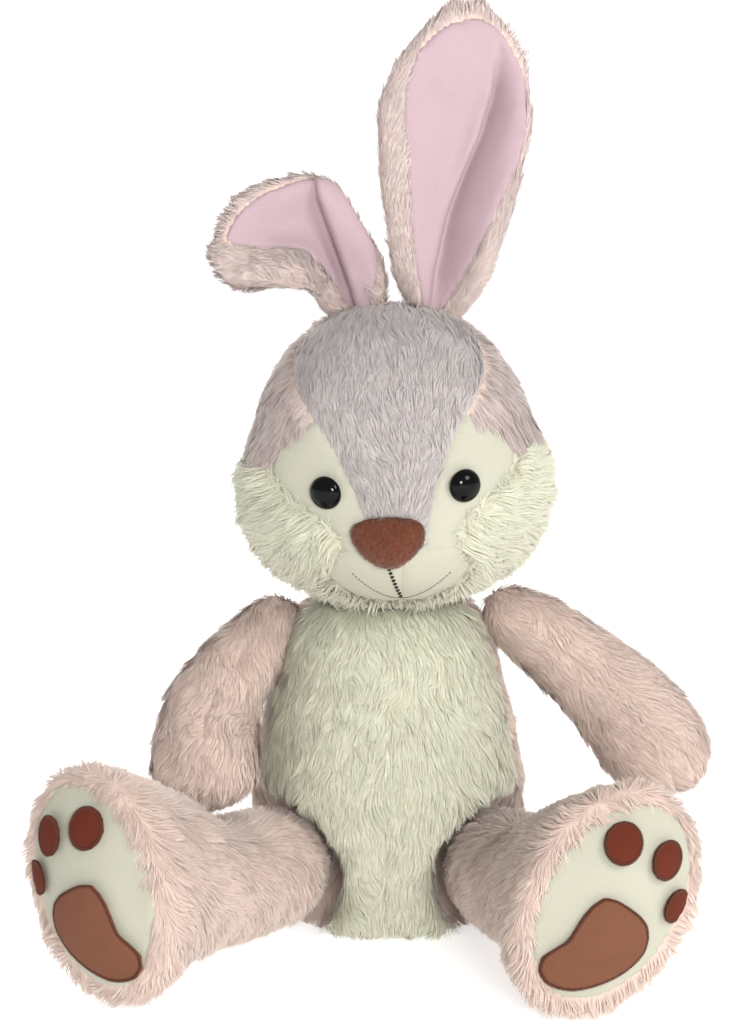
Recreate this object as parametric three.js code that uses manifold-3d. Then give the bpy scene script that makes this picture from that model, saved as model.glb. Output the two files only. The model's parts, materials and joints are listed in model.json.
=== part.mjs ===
// Seated plush bunny, in millimetres. +Z is up, the bunny faces -Y, and the origin is the
// middle of the flat seat it rests on. Left and right are the bunny's own: its left is +X.
import * as THREE from 'three';
import { mergeVertices } from 'three/addons/utils/BufferGeometryUtils.js';
import Module from 'manifold-3d';

const wasm = await Module();
wasm.setup();

// Driving dimensions.
const GAP = 0.5; // between neighbouring panels along a seam
const PILE_WALL = 5; // fur fabric with its pile
const SMOOTH_WALL = 2.5; // short velboa fabric
const LIMB_WALL = 4; // the same fabric on the thinner arms
const FILL_GAP = 1.6; // between a skin and the filling inside it

const HEAD = {
  centre: [2, -4, 192],
  radii: [53.5, 54, 58.5],
  roundness: 2.2,
  roll: THREE.MathUtils.degToRad(-3),
};
const BULGES = [
  { turn: 0, rise: -33, height: 13, spread: 27 },
  { turn: 66, rise: -22, height: 12, spread: 36 },
  { turn: -66, rise: -22, height: 12, spread: 36 },
];
const EYE = { radius: 6, turn: 25.5, rise: -6.5, shank: 2, length: 13, washer: 7.5 };
const SHOULDER = { x: 59, y: -3, z: 116, radius: 15.5 };
const HIP = { x: 44, y: -26, z: 29, radius: 25 };
const LEG_LENGTH = 110;

const COLOURS = {
  pink: { color: 0xe0cbc3, roughness: 0.95 },
  greyPink: { color: 0xc9bfbc, roughness: 0.95 },
  creamFur: { color: 0xe6e4cb, roughness: 0.95 },
  cream: { color: 0xe9e4cc, roughness: 0.85 },
  lining: { color: 0xd9bcc2, roughness: 0.8 },
  brown: { color: 0x8c553f, roughness: 0.8 },
  rust: { color: 0x7c3420, roughness: 0.8 },
  nose: { color: 0x7d412b, roughness: 0.75 },
  black: { color: 0x0b0b0c, roughness: 0.12 },
  thread: { color: 0x2a2422, roughness: 0.7 },
  washer: { color: 0xe8e8e4, roughness: 0.4 },
  filling: { color: 0xf4f4f0, roughness: 1 },
};

const bunny = new THREE.Group();
const deg = THREE.MathUtils.degToRad;
const lerp = THREE.MathUtils.lerp;

function addPiece(name, geometry, look) {
  const material = new THREE.MeshStandardMaterial({ ...COLOURS[look], metalness: 0 });
  const mesh = new THREE.Mesh(geometry, material);
  mesh.name = name;
  bunny.add(mesh);
  return mesh;
}

// Value at x along a list of [x, value] stations, in rising x.
function along(stations, x) {
  const last = stations.length - 1;
  if (x <= stations[0][0]) return stations[0][1];
  if (x >= stations[last][0]) return stations[last][1];
  const i = stations.findIndex(([at]) => at >= x);
  const [x0, v0] = stations[i - 1];
  const [x1, v1] = stations[i];
  const t = (x - x0) / (x1 - x0);
  return lerp(v0, v1, 0.6 * t + 0.4 * THREE.MathUtils.smoothstep(t, 0, 1));
}

// A closed solid from its points and faces, turned so that its faces point out.
function closedSolid(points, faces) {
  let volume = 0;
  const a = new THREE.Vector3();
  const b = new THREE.Vector3();
  for (let i = 0; i < faces.length; i += 3) {
    a.copy(points[faces[i]]);
    b.copy(points[faces[i + 1]]).cross(points[faces[i + 2]]);
    volume += a.dot(b);
  }
  const turned = volume < 0 ? faces.slice().reverse() : faces;
  const geometry = new THREE.BufferGeometry();
  const flat = points.flatMap((p) => [p.x, p.y, p.z]);
  geometry.setAttribute('position', new THREE.Float32BufferAttribute(flat, 3));
  geometry.setIndex(turned);
  geometry.computeVertexNormals();
  return geometry;
}

// Unit normal of a surface at (v, u), pointing away from the point inside.
function normalAt(surface, v, u, inside) {
  const step = 1e-3;
  const v0 = Math.max(0, v - step);
  const v1 = Math.min(1, v + step);
  const dv = surface(v1, u).sub(surface(v0, u));
  const du = surface(v, u + step).sub(surface(v, u - step));
  const normal = dv.cross(du).normalize();
  const out = surface(v, u).sub(inside(v, u));
  return normal.dot(out) < 0 ? normal.negate() : normal;
}

// A plate that follows a surface: high and low are its two faces' heights over it.
function plate(surface, inside, vs, usAt, high, low) {
  const points = [];
  const cols = usAt(vs[0]).length;
  for (const height of [high, low]) {
    for (const v of vs) {
      for (const u of usAt(v)) {
        const lift = typeof height === 'function' ? height(v, u) : height;
        const normal = normalAt(surface, v, u, inside);
        points.push(surface(v, u).addScaledVector(normal, lift));
      }
    }
  }
  const rows = vs.length;
  const id = (i, j, side) => (side * rows + i) * cols + j;
  const faces = [];
  const quad = (a, b, c, d) => faces.push(a, b, c, a, c, d);
  for (let i = 0; i < rows - 1; i += 1) {
    for (let j = 0; j < cols - 1; j += 1) {
      quad(id(i, j, 0), id(i, j + 1, 0), id(i + 1, j + 1, 0), id(i + 1, j, 0));
      quad(id(i + 1, j, 1), id(i + 1, j + 1, 1), id(i, j + 1, 1), id(i, j, 1));
    }
    quad(id(i, 0, 0), id(i + 1, 0, 0), id(i + 1, 0, 1), id(i, 0, 1));
    quad(id(i, cols - 1, 1), id(i + 1, cols - 1, 1), id(i + 1, cols - 1, 0), id(i, cols - 1, 0));
  }
  for (let j = 0; j < cols - 1; j += 1) {
    quad(id(0, j, 1), id(0, j + 1, 1), id(0, j + 1, 0), id(0, j, 0));
    quad(id(rows - 1, j, 0), id(rows - 1, j + 1, 0), id(rows - 1, j + 1, 1), id(rows - 1, j, 1));
  }
  return closedSolid(points, faces);
}

// A filling: rings of a surface sunk by depth, closed by a fan at each end.
function filling(surface, inside, vs, cols, depth) {
  const points = [];
  const faces = [];
  const rings = vs.length;
  for (const v of vs) {
    for (let j = 0; j < cols; j += 1) {
      const u = (j / cols) * 2 * Math.PI;
      points.push(surface(v, u).addScaledVector(normalAt(surface, v, u, inside), -depth));
    }
  }
  const ringMiddle = (i) => {
    const middle = new THREE.Vector3();
    for (let j = 0; j < cols; j += 1) middle.add(points[i * cols + j]);
    return middle.multiplyScalar(1 / cols);
  };
  points.push(ringMiddle(0), ringMiddle(rings - 1));
  for (let j = 0; j < cols; j += 1) {
    const k = (j + 1) % cols;
    faces.push(rings * cols, k, j);
    faces.push(rings * cols + 1, (rings - 1) * cols + j, (rings - 1) * cols + k);
    for (let i = 0; i < rings - 1; i += 1) {
      const a = i * cols + j;
      const b = i * cols + k;
      faces.push(a, b, b + cols, a, b + cols, a + cols);
    }
  }
  return closedSolid(points, faces);
}

const spread = (from, to, count) =>
  Array.from({ length: count + 1 }, (_, i) => lerp(from, to, i / count));

function toManifold(geometry) {
  const bare = geometry.clone();
  bare.deleteAttribute('normal');
  bare.deleteAttribute('uv');
  const merged = mergeVertices(bare, 1e-4);
  return new wasm.Manifold(new wasm.Mesh({
    numProp: 3,
    vertProperties: new Float32Array(merged.attributes.position.array),
    triVerts: new Uint32Array(merged.index.array),
  }));
}

function fromManifold(solid) {
  const mesh = solid.getMesh();
  const geometry = new THREE.BufferGeometry();
  geometry.setAttribute('position', new THREE.BufferAttribute(mesh.vertProperties, 3));
  geometry.setIndex(new THREE.BufferAttribute(mesh.triVerts, 1));
  geometry.computeVertexNormals();
  return geometry;
}

// A piece less its neighbours' space. A sliver that the cut leaves loose is dropped.
function cut(geometry, ...tools) {
  const left = tools.reduce((solid, tool) => solid.subtract(toManifold(tool)), toManifold(geometry));
  const parts = left.decompose().sort((a, b) => b.volume() - a.volume());
  return fromManifold(parts[0]);
}

const ballAt = (centre, radius) =>
  new THREE.SphereGeometry(radius, 16, 10).translate(centre.x, centre.y, centre.z);

// ---------------------------------------------------------------- torso
const TORSO = {
  width: [[0, 47], [6, 53], [28, 58], [60, 55], [90, 49], [108, 44.5], [118, 40], [125, 32], [130, 20]],
  front: [[0, 38], [6, 42], [28, 47], [60, 51], [90, 47], [108, 41], [118, 36], [125, 29], [130, 19]],
  back: [[0, 42], [6, 48], [28, 54], [60, 52], [90, 46], [108, 40], [118, 35], [125, 28], [130, 18]],
  top: 130,
  roundness: 2.25,
};
const SIDE_SEAM = deg(74); // tummy panels reach this far round from the front

function torsoSurface(v, u) {
  const z = v * TORSO.top;
  const width = along(TORSO.width, z);
  const depth = along(Math.cos(u) > 0 ? TORSO.front : TORSO.back, z);
  const p = TORSO.roundness;
  const r = (Math.abs(Math.sin(u) / width) ** p + Math.abs(Math.cos(u) / depth) ** p) ** (-1 / p);
  return new THREE.Vector3(r * Math.sin(u), -r * Math.cos(u), z);
}
const torsoInside = (v) => new THREE.Vector3(0, 0, lerp(20, 105, v));
const torsoRows = [0, 6, 16, 28, 44, 60, 76, 92, 104, 114, 122, 129].map((z) => z / TORSO.top);
const shoulderDish = [1, -1].map((side) =>
  ballAt(new THREE.Vector3(side * SHOULDER.x, SHOULDER.y, SHOULDER.z), SHOULDER.radius + 0.8));
const hipDish = [1, -1].map((side) =>
  ballAt(new THREE.Vector3(side * HIP.x, HIP.y, HIP.z), HIP.radius + 6));

const torsoPanels = [
  ['tummy_panel_left', 0, SIDE_SEAM, 'creamFur', 6],
  ['tummy_panel_right', -SIDE_SEAM, 0, 'creamFur', 6],
  ['back_panel_left', SIDE_SEAM, Math.PI, 'pink', 8],
  ['back_panel_right', -Math.PI, -SIDE_SEAM, 'pink', 8],
];
for (const [name, from, to, look, cols] of torsoPanels) {
  const seam = (v) => {
    const half = GAP / 2 / along(TORSO.width, v * TORSO.top);
    return spread(from + half, to - half, cols);
  };
  const panel = plate(torsoSurface, torsoInside, torsoRows, seam, 0, -PILE_WALL);
  addPiece(name, cut(panel, ...shoulderDish, ...hipDish), look);
}

const seatOutline = new THREE.Shape();
seatOutline.absellipse(0, 2, 40, 33.6, 0, Math.PI * 2);
const seat = new THREE.ExtrudeGeometry(seatOutline, { depth: 4, bevelEnabled: false, curveSegments: 18 });
addPiece('seat_panel', cut(seat, ...hipDish), 'pink');

const torsoFillRows = [10, 20, 34, 50, 66, 82, 98, 108, 116, 121].map((z) => z / TORSO.top);
const torsoFill = filling(torsoSurface, torsoInside, torsoFillRows, 20, PILE_WALL + FILL_GAP);
addPiece('torso_filling', cut(torsoFill, ...shoulderDish, ...hipDish), 'filling');

const TAIL = { radius: 19, y: 64, z: 26 };
const torsoOutside = filling(torsoSurface, torsoInside, torsoRows, 24, -GAP);
const tail = new THREE.SphereGeometry(TAIL.radius, 14, 10).translate(0, TAIL.y, TAIL.z);
addPiece('tail_pompom', cut(tail, torsoOutside), 'creamFur');

// ---------------------------------------------------------------- head
const headMatrix = new THREE.Matrix4()
  .makeRotationY(HEAD.roll)
  .setPosition(...HEAD.centre);

const direction = (turn, rise) => new THREE.Vector3(
  Math.cos(rise) * Math.sin(turn),
  -Math.cos(rise) * Math.cos(turn),
  Math.sin(rise),
);

function headRadius(turn, rise) {
  const d = direction(turn, rise);
  const p = HEAD.roundness;
  const [a, b, c] = HEAD.radii;
  let r = (Math.abs(d.x / a) ** p + Math.abs(d.y / b) ** p + Math.abs(d.z / c) ** p) ** (-1 / p);
  for (const bulge of BULGES) {
    const away = d.angleTo(direction(deg(bulge.turn), deg(bulge.rise)));
    r += bulge.height * Math.exp(-((away / deg(bulge.spread)) ** 2));
  }
  return r;
}

// v runs from the crown (0) to the neck (1).
const RISE_TOP = 88;
const RISE_BOTTOM = -78;
const riseOf = (v) => deg(lerp(RISE_TOP, RISE_BOTTOM, v));
const rowOf = (rise) => (RISE_TOP - rise) / (RISE_TOP - RISE_BOTTOM);
const headSurface = (v, u) => direction(u, riseOf(v)).multiplyScalar(headRadius(u, riseOf(v)));
const headInside = () => new THREE.Vector3(0, 0, 0);

// Seam lines of the face, as turn from the middle over rise, both in degrees.
const BLAZE_EDGE = [
  [-27, 6], [-19, 9], [-14, 12], [-6, 15.5], [0, 18], [14, 27], [22, 34], [34, 52], [46, 70],
  [60, 82], [88, 88],
];
const PATCH_EDGE = [
  [-56, 14], [-50, 26], [-38, 34], [-31, 31], [-27, 24], [-23, 21.5], [-19, 24], [-14, 33],
  [-6, 48], [2, 52], [9, 50], [20, 33],
];
const BACK_SEAM = 108;
const headRises = [
  88, 72, 58, 46, 34, 27, 20, 9, 2, -6, -14, -19, -23, -27, -31, -38, -46, -52, -56, -66, -78,
];

const rises = (high, low) => headRises.filter((rise) => rise <= high && rise >= low);
const edgeGap = (v) => {
  const rise = riseOf(v);
  return GAP / 2 / (headRadius(0.6, rise) * Math.cos(rise));
};
const trimmed = (list) => {
  const rows = list.map(rowOf);
  const trim = GAP / 2 / 58 / deg(RISE_TOP - RISE_BOTTOM);
  rows[0] += trim;
  rows[rows.length - 1] -= trim;
  return rows;
};
function headPanel(name, list, from, to, cols, wall, look, side = 1, tools = []) {
  const us = (v) => {
    const rise = lerp(RISE_TOP, RISE_BOTTOM, v);
    const a = deg(from(rise)) + edgeGap(v);
    const b = deg(to(rise)) - edgeGap(v);
    return spread(side * a, side * b, cols);
  };
  let geometry = plate(headSurface, headInside, trimmed(list), us, 0, -wall);
  if (tools.length) geometry = cut(geometry, ...tools);
  addPiece(name, geometry.applyMatrix4(headMatrix), look);
}

const blazeEdge = (rise) => along(BLAZE_EDGE, rise);
const patchEdge = (rise) => along(PATCH_EDGE, rise);

function eyeFrame(side) {
  const turn = side * deg(EYE.turn);
  const rise = deg(EYE.rise);
  const at = direction(turn, rise).multiplyScalar(headRadius(turn, rise));
  const out = normalAt(headSurface, rowOf(EYE.rise), turn, headInside);
  const turnTo = new THREE.Quaternion().setFromUnitVectors(new THREE.Vector3(0, 1, 0), out);
  return new THREE.Matrix4().compose(at, turnTo, new THREE.Vector3(1, 1, 1));
}
const shankHole = [1, -1].map((side) =>
  new THREE.CylinderGeometry(EYE.shank + 0.4, EYE.shank + 0.4, 12, 12).applyMatrix4(eyeFrame(side)));
const washerSpace = [1, -1].map((side) => {
  const space = new THREE.CylinderGeometry(EYE.washer + 0.5, EYE.washer + 0.5, 18, 14);
  return space.translate(0, -3.2 - 9, 0).applyMatrix4(eyeFrame(side));
});

const blazeSide = (rise) => -blazeEdge(rise);
headPanel('forehead_blaze', rises(88, -27), blazeSide, blazeEdge, 8, PILE_WALL, 'greyPink', 1, washerSpace);
for (const [label, side, hole] of [['left', 1, shankHole[0]], ['right', -1, shankHole[1]]]) {
  const inner = (r) => (r > -26.9 ? blazeEdge(r) : 0);
  headPanel(`face_patch_${label}`, rises(20, -27), inner, patchEdge, 4, SMOOTH_WALL, 'cream', side, [hole]);
  headPanel(`muzzle_patch_${label}`, rises(-27, -56), () => 0, patchEdge, 5, SMOOTH_WALL, 'cream', side);
  const cheekRises = rises(2, -56);
  const backSeam = () => BACK_SEAM;
  headPanel(`cheek_${label}`, cheekRises, patchEdge, backSeam, 7, PILE_WALL, 'creamFur', side, washerSpace);
  headPanel(`chin_${label}`, rises(-56, -78), () => 0, () => BACK_SEAM, 7, PILE_WALL, 'creamFur', side);
  const sideEdge = (r) => (r > 20 ? blazeEdge(r) : patchEdge(r));
  headPanel(`head_side_${label}`, rises(88, 2), sideEdge, () => BACK_SEAM, 5, PILE_WALL, 'pink', side);
}
headPanel('head_back', rises(88, -78), () => BACK_SEAM, () => 360 - BACK_SEAM, 9, PILE_WALL, 'pink');

const headFillRows = [80, 64, 48, 32, 16, 0, -14, -28, -42, -56, -68].map(rowOf);
const headFill = filling(headSurface, headInside, headFillRows, 20, PILE_WALL + FILL_GAP);
addPiece('head_filling', cut(headFill, ...washerSpace).applyMatrix4(headMatrix), 'filling');

for (const [label, side] of [['left', 1], ['right', -1]]) {
  const dome = [];
  for (let i = 0; i <= 5; i += 1) {
    const a = (i / 5) * (Math.PI / 2);
    dome.push(new THREE.Vector2(EYE.radius * Math.cos(a), 0.4 + 4.2 * Math.sin(a)));
  }
  dome[5].x = 0;
  const profile = [
    new THREE.Vector2(0, -EYE.length + 4),
    new THREE.Vector2(EYE.shank, -EYE.length + 4),
    new THREE.Vector2(EYE.shank, 0.4),
    ...dome,
  ];
  const eye = new THREE.LatheGeometry(profile, 16).applyMatrix4(eyeFrame(side));
  addPiece(`eye_${label}`, eye.applyMatrix4(headMatrix), 'black');
  const ring = [[EYE.shank + 0.3, -5.2], [EYE.washer, -5.2], [EYE.washer, -3.7], [EYE.shank + 0.3, -3.7]];
  ring.push(ring[0]);
  const washer = new THREE.LatheGeometry(ring.map(([x, y]) => new THREE.Vector2(x, y)), 16);
  addPiece(`eye_washer_${label}`, washer.applyMatrix4(eyeFrame(side)).applyMatrix4(headMatrix), 'washer');
}

// Nose: a padded D with its flat side up, laid over the top of the muzzle.
const NOSE = { turn: -3.5, rise: -21, halfWidth: 12.5, up: 7, down: 10, thickness: 4.5 };
function noseSurface(v, u) {
  const x = NOSE.halfWidth * v * Math.sin(u);
  const c = Math.cos(u);
  const y = v * (c > 0 ? NOSE.up * c ** 0.55 : NOSE.down * c);
  const turn = deg(NOSE.turn) + x / 58;
  const rise = deg(NOSE.rise) + y / 66;
  return direction(turn, rise).multiplyScalar(headRadius(turn, rise));
}
const fullTurn = () => spread(0, 2 * Math.PI, 20);

// A pad closed round its rim: rings from the middle out, thick in the middle, thin at the rim.
function pad(surface, inside, cols, lift, thickness, crown) {
  const rings = [0.45, 0.82, 1];
  const points = [];
  const faces = [];
  const tops = rings.length;
  for (const side of [1, 0]) {
    for (const r of rings) {
      for (let j = 0; j < cols; j += 1) {
        const u = (j / cols) * 2 * Math.PI;
        const rise = lift + side * (thickness + crown * (1 - r * r));
        points.push(surface(r, u).addScaledVector(inside, rise));
      }
    }
    points.push(surface(0, 0).addScaledVector(inside, lift + side * (thickness + crown)));
  }
  const base = tops * cols + 1;
  for (let j = 0; j < cols; j += 1) {
    const k = (j + 1) % cols;
    faces.push(tops * cols, j, k, base + tops * cols, base + k, base + j);
    for (let i = 0; i < tops - 1; i += 1) {
      const [a, b] = [i * cols + j, i * cols + k];
      faces.push(a, a + cols, b + cols, a, b + cols, b);
      faces.push(base + a, base + b, base + b + cols, base + a, base + b + cols, base + a + cols);
    }
    const [a, b] = [(tops - 1) * cols + j, (tops - 1) * cols + k];
    faces.push(a, base + a, base + b, a, base + b, b);
  }
  return closedSolid(points, faces);
}
const noseOut = direction(deg(NOSE.turn), deg(NOSE.rise));
addPiece('nose', pad(noseSurface, noseOut, 22, 0.5, 2, 2.8).applyMatrix4(headMatrix), 'nose');

// Mouth: one row of thread down from the nose and a smile across its foot.
function threadStrip(pathAt, steps) {
  const surface = (v, u) => {
    const [turn, rise] = pathAt(v);
    const [turn2, rise2] = pathAt(Math.min(1, v + 0.01));
    const [turn1, rise1] = pathAt(Math.max(0, v - 0.01));
    const heading = Math.atan2(rise2 - rise1, turn2 - turn1);
    const t = deg(turn) - (u * Math.sin(heading)) / 62;
    const r = deg(rise) + (u * Math.cos(heading)) / 62;
    return direction(t, r).multiplyScalar(headRadius(t, r));
  };
  return plate(surface, headInside, spread(0, 1, steps), () => [-0.6, 0.6], 1.5, 0.5);
}
const stem = threadStrip((v) => [lerp(-3, -0.5, v), lerp(-32, -47, v)], 4);
const smile = threadStrip((v) => {
  const turn = lerp(-20, 19, v);
  return [turn, -46.8 + 9 * Math.abs(turn / 20) ** 1.7];
}, 14);
const mouth = fromManifold(toManifold(stem).add(toManifold(smile)));
addPiece('mouth_stitching', mouth.applyMatrix4(headMatrix), 'thread');

// ---------------------------------------------------------------- ears
const earShapes = {
  left: {
    line: [[21, 1, 254], [22, 3, 274], [24, 4, 298], [26, 4, 324], [30, 2, 346], [31, -1, 366]],
    halfWidth: [[0, 3], [0.05, 11], [0.14, 17], [0.35, 25], [0.62, 30], [0.82, 24], [0.93, 15], [1, 3]],
    cup: [[0, 1], [0.14, 7], [0.35, 9], [0.62, 7], [1, 1]],
    valley: { depth: 8, width: 0.34, at: [[0, -0.25], [0.2, -0.1], [0.5, 0.12], [0.8, 0.5], [1, 0.6]] },
    face: [0.08, -1, 0.05],
  },
  right: {
    line: [[-17, 1, 254], [-19, 2, 267], [-27, -2, 278], [-41, -9, 278], [-54, -17, 271], [-64, -25, 265]],
    halfWidth: [[0, 3], [0.06, 10.5], [0.18, 15], [0.4, 20], [0.65, 20], [0.85, 14.5], [0.94, 10], [1, 3]],
    cup: [[0, 1], [0.18, 6], [0.45, 7], [0.7, 6], [1, 1]],
    valley: { depth: 5, width: 0.4, at: [[0, -0.1], [0.3, 0.05], [0.6, 0.15], [1, 0.2]] },
    face: [0.05, -1, 0.25],
  },
};
for (const [label, ear] of Object.entries(earShapes)) {
  const line = new THREE.CatmullRomCurve3(ear.line.map((p) => new THREE.Vector3(...p)));
  const surface = (v, u) => {
    const at = Math.min(1, Math.max(0, v));
    const tangent = line.getTangentAt(at);
    const face = new THREE.Vector3(...ear.face).projectOnPlane(tangent).normalize();
    const across = new THREE.Vector3().crossVectors(tangent, face);
    const half = along(ear.halfWidth, at);
    const deep = along(ear.cup, at);
    const { valley } = ear;
    const middle = along(valley.at, at);
    const sunk = valley.depth * Math.sin(Math.PI * at) ** 1.3;
    const fold = sunk * Math.exp(-(((u - middle) / valley.width) ** 2));
    return line.getPointAt(at)
      .addScaledVector(across, half * u)
      .addScaledVector(face, deep * u * u - fold);
  };
  const behind = (v, u) => {
    const face = new THREE.Vector3(...ear.face).normalize();
    return surface(v, u).addScaledVector(face, -50);
  };
  const stations = ear.halfWidth.map(([at]) => at);
  const vs = [...new Set([...stations, 0.24, 0.48, 0.72])].sort((a, b) => a - b);
  const acrossOuter = () => spread(-1, 1, 9);
  const acrossLining = () => spread(-0.86, 0.86, 9);
  addPiece(`ear_${label}_outer`, plate(surface, behind, vs, acrossOuter, -0.4, -6.4), 'pink');
  addPiece(`ear_${label}_lining`, plate(surface, behind, vs.slice(1, -1), acrossLining, 2.5, 0.6), 'lining');
}

// ---------------------------------------------------------------- limbs
// A stuffed limb: stations along its line with the half width across and the half height.
function limbSurface(line, stations, up, roll = 0) {
  const widths = stations.map(([at, width]) => [at, width]);
  const heights = stations.map(([at, , height]) => [at, height]);
  return (v, u) => {
    const at = Math.min(1, Math.max(0, v));
    const tangent = line.getTangentAt(at);
    const high = new THREE.Vector3(...up).projectOnPlane(tangent).normalize();
    const across = new THREE.Vector3().crossVectors(tangent, high);
    const angle = u;
    const turn = roll * THREE.MathUtils.smoothstep(at, 0.3, 0.85);
    const x = along(widths, at) * Math.sin(angle);
    const y = along(heights, at) * Math.cos(angle);
    return line.getPointAt(at)
      .addScaledVector(across, x * Math.cos(turn) + y * Math.sin(turn))
      .addScaledVector(high, y * Math.cos(turn) - x * Math.sin(turn));
  };
}
const lineInside = (line) => (v) => line.getPointAt(Math.min(1, Math.max(0, v)));
const halves = (v, from) => {
  const half = 0.012;
  return spread(from + half, from + Math.PI - half, 7);
};

const armLines = {
  left: [[47, -3, 121], [59, -3, 116], [75, -9, 107], [94, -20, 91], [107, -29, 74], [112, -34, 58]],
  right: [
    [-54, -3, 129], [-59, -3, 116], [-67, -14, 98], [-71.5, -28, 82], [-72.5, -40, 68], [-72.5, -47, 55],
  ],
};
const ARM_STATIONS = [
  [0, 2, 2], [0.04, 9, 9], [0.12, 14, 14], [0.22, 16.5, 16], [0.42, 19, 17.5],
  [0.64, 22, 19], [0.8, 23, 19.5], [0.9, 20, 16.5], [0.97, 12, 10], [1, 2, 2],
];
for (const [label, points] of Object.entries(armLines)) {
  const side = label === 'left' ? 1 : -1;
  const line = new THREE.CatmullRomCurve3(points.map((p) => new THREE.Vector3(...p)));
  const surface = limbSurface(line, ARM_STATIONS, [0, -1, 0.2]);
  const vs = ARM_STATIONS.map(([at]) => at);
  vs.splice(5, 0, 0.53);
  const outer = side > 0 ? 0 : Math.PI;
  const shells = { outer, inner: Math.PI - outer };
  for (const [half, from] of Object.entries(shells)) {
    const geometry = plate(surface, lineInside(line), vs, (v) => halves(v, from), 0, -LIMB_WALL);
    addPiece(`arm_${label}_${half}_panel`, geometry, 'pink');
  }
  const fill = filling(surface, lineInside(line), vs.slice(2, -2), 14, LIMB_WALL + FILL_GAP);
  addPiece(`arm_${label}_filling`, fill, 'filling');
}

const legTurns = {
  left: { yaw: deg(20), roll: deg(39) },
  right: { yaw: deg(-37), roll: deg(-32) },
};
const LEG_STATIONS = [
  [0, 2, 2], [0.03, 11, 11], [0.1, 19, 19], [0.2, 25, 24.5], [0.36, 27, 25],
  [0.55, 30, 27], [0.74, 32, 37], [0.88, 34, 46], [0.97, 34.5, 47.5], [1, 33, 46],
];
const footRest = (roll) => Math.hypot(47.5 * Math.cos(roll), 34.5 * Math.sin(roll)) + 0.5;
const SOLE = { halfWidth: 26.6, halfHeight: 40, crown: 9, sunk: 3 };
const PADS = [
  { name: 'toe_pad_inner', x: -11.5, y: 18.5, rx: 6.9, ry: 8.3, look: 'rust' },
  { name: 'toe_pad_middle', x: 6.6, y: 23.2, rx: 6.1, ry: 7.8, look: 'rust' },
  { name: 'toe_pad_outer', x: 20.4, y: 12, rx: 4.6, ry: 6.8, look: 'rust' },
];
// Kidney heel pad, as an outline of the foot's own outward and upward distances.
const HEEL = [
  [-7.5, -2], [2, 0], [13, -1], [19, -8], [17.5, -18], [10, -30],
  [2, -37], [-8, -38.5], [-12.5, -32], [-9, -22.5], [-10, -13],
];

for (const [label, leg] of Object.entries(legTurns)) {
  const side = label === 'left' ? 1 : -1;
  const hip = new THREE.Vector3(side * HIP.x, HIP.y, HIP.z);
  const ahead = new THREE.Vector3(Math.sin(leg.yaw), -Math.cos(leg.yaw), 0);
  const stationPoint = (s, z) => hip.clone().addScaledVector(ahead, s).setZ(z);
  const line = new THREE.CatmullRomCurve3([
    stationPoint(-23, 29), stationPoint(0, 28.5), stationPoint(26, 28.5),
    stationPoint(56, 32), stationPoint(82, footRest(leg.roll) - 4),
    stationPoint(LEG_LENGTH, footRest(leg.roll)),
  ]);
  const surface = limbSurface(line, LEG_STATIONS, [0, 0, 1], -leg.roll);
  const vs = LEG_STATIONS.map(([at]) => at);
  vs.splice(6, 0, 0.65);
  const outer = side > 0 ? Math.PI : 0;
  const shells = { outer, inner: Math.PI - outer };
  for (const [half, from] of Object.entries(shells)) {
    const geometry = plate(surface, lineInside(line), vs, (v) => halves(v, from), 0, -PILE_WALL);
    addPiece(`leg_${label}_${half}_panel`, geometry, 'pink');
  }
  const fill = filling(surface, lineInside(line), vs.slice(2, -2), 16, PILE_WALL + FILL_GAP);
  addPiece(`leg_${label}_filling`, fill, 'filling');

  // The foot's own frame: x outward across the sole, y up along it, z out of it.
  const end = line.getPointAt(1);
  const out = line.getTangentAt(1);
  const high = new THREE.Vector3(0, 0, 1).projectOnPlane(out).normalize();
  const across = new THREE.Vector3().crossVectors(high, out);
  const outward = across.clone().multiplyScalar(side * Math.sign(across.x));
  const roll = Math.abs(leg.roll);
  const toeUp = high.clone().multiplyScalar(Math.cos(roll)).addScaledVector(outward, Math.sin(roll));
  const toeOut = outward.clone().multiplyScalar(Math.cos(roll)).addScaledVector(high, -Math.sin(roll));
  const foot = (x, y) => {
    const r2 = Math.min(1, (x / SOLE.halfWidth) ** 2 + (y / SOLE.halfHeight) ** 2);
    return end.clone()
      .addScaledVector(toeOut, x)
      .addScaledVector(toeUp, y)
      .addScaledVector(out, SOLE.crown * (1 - r2) - SOLE.sunk);
  };
  const soleSurface = (v, u) => foot(SOLE.halfWidth * v * Math.sin(u), SOLE.halfHeight * v * Math.cos(u));
  addPiece(`sole_${label}`, pad(soleSurface, out, 22, 0, 2.5, 0), 'cream');
  const onSole = 3.1;
  for (const toe of PADS) {
    const toeSurface = (v, u) => foot(toe.x + toe.rx * v * Math.sin(u), toe.y + toe.ry * v * Math.cos(u));
    addPiece(`${toe.name}_${label}`, pad(toeSurface, out, 12, onSole, 1.2, 0.8), toe.look);
  }
  const outline = new THREE.CatmullRomCurve3(HEEL.map(([x, y]) => new THREE.Vector3(x, y, 0)), true);
  const heelSurface = (v, u) => {
    const edge = outline.getPointAt((u / (2 * Math.PI)) % 1);
    return foot(lerp(3, edge.x, v), lerp(-16, edge.y, v));
  };
  addPiece(`heel_pad_${label}`, pad(heelSurface, out, 22, onSole, 1.2, 1), 'brown');
}

export default bunny;
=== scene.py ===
"""A seated plush bunny: sewn skins swollen over their filling, with pile, stitching and glossy eyes.

Left and right are the bunny's own, so its left is +X. Lengths are in metres unless a name says mm.
"""

import json
import math

import bmesh
import bpy
import numpy as np
from mathutils import Matrix, Vector
from mathutils.bvhtree import BVHTree
from mathutils.kdtree import KDTree


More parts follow.
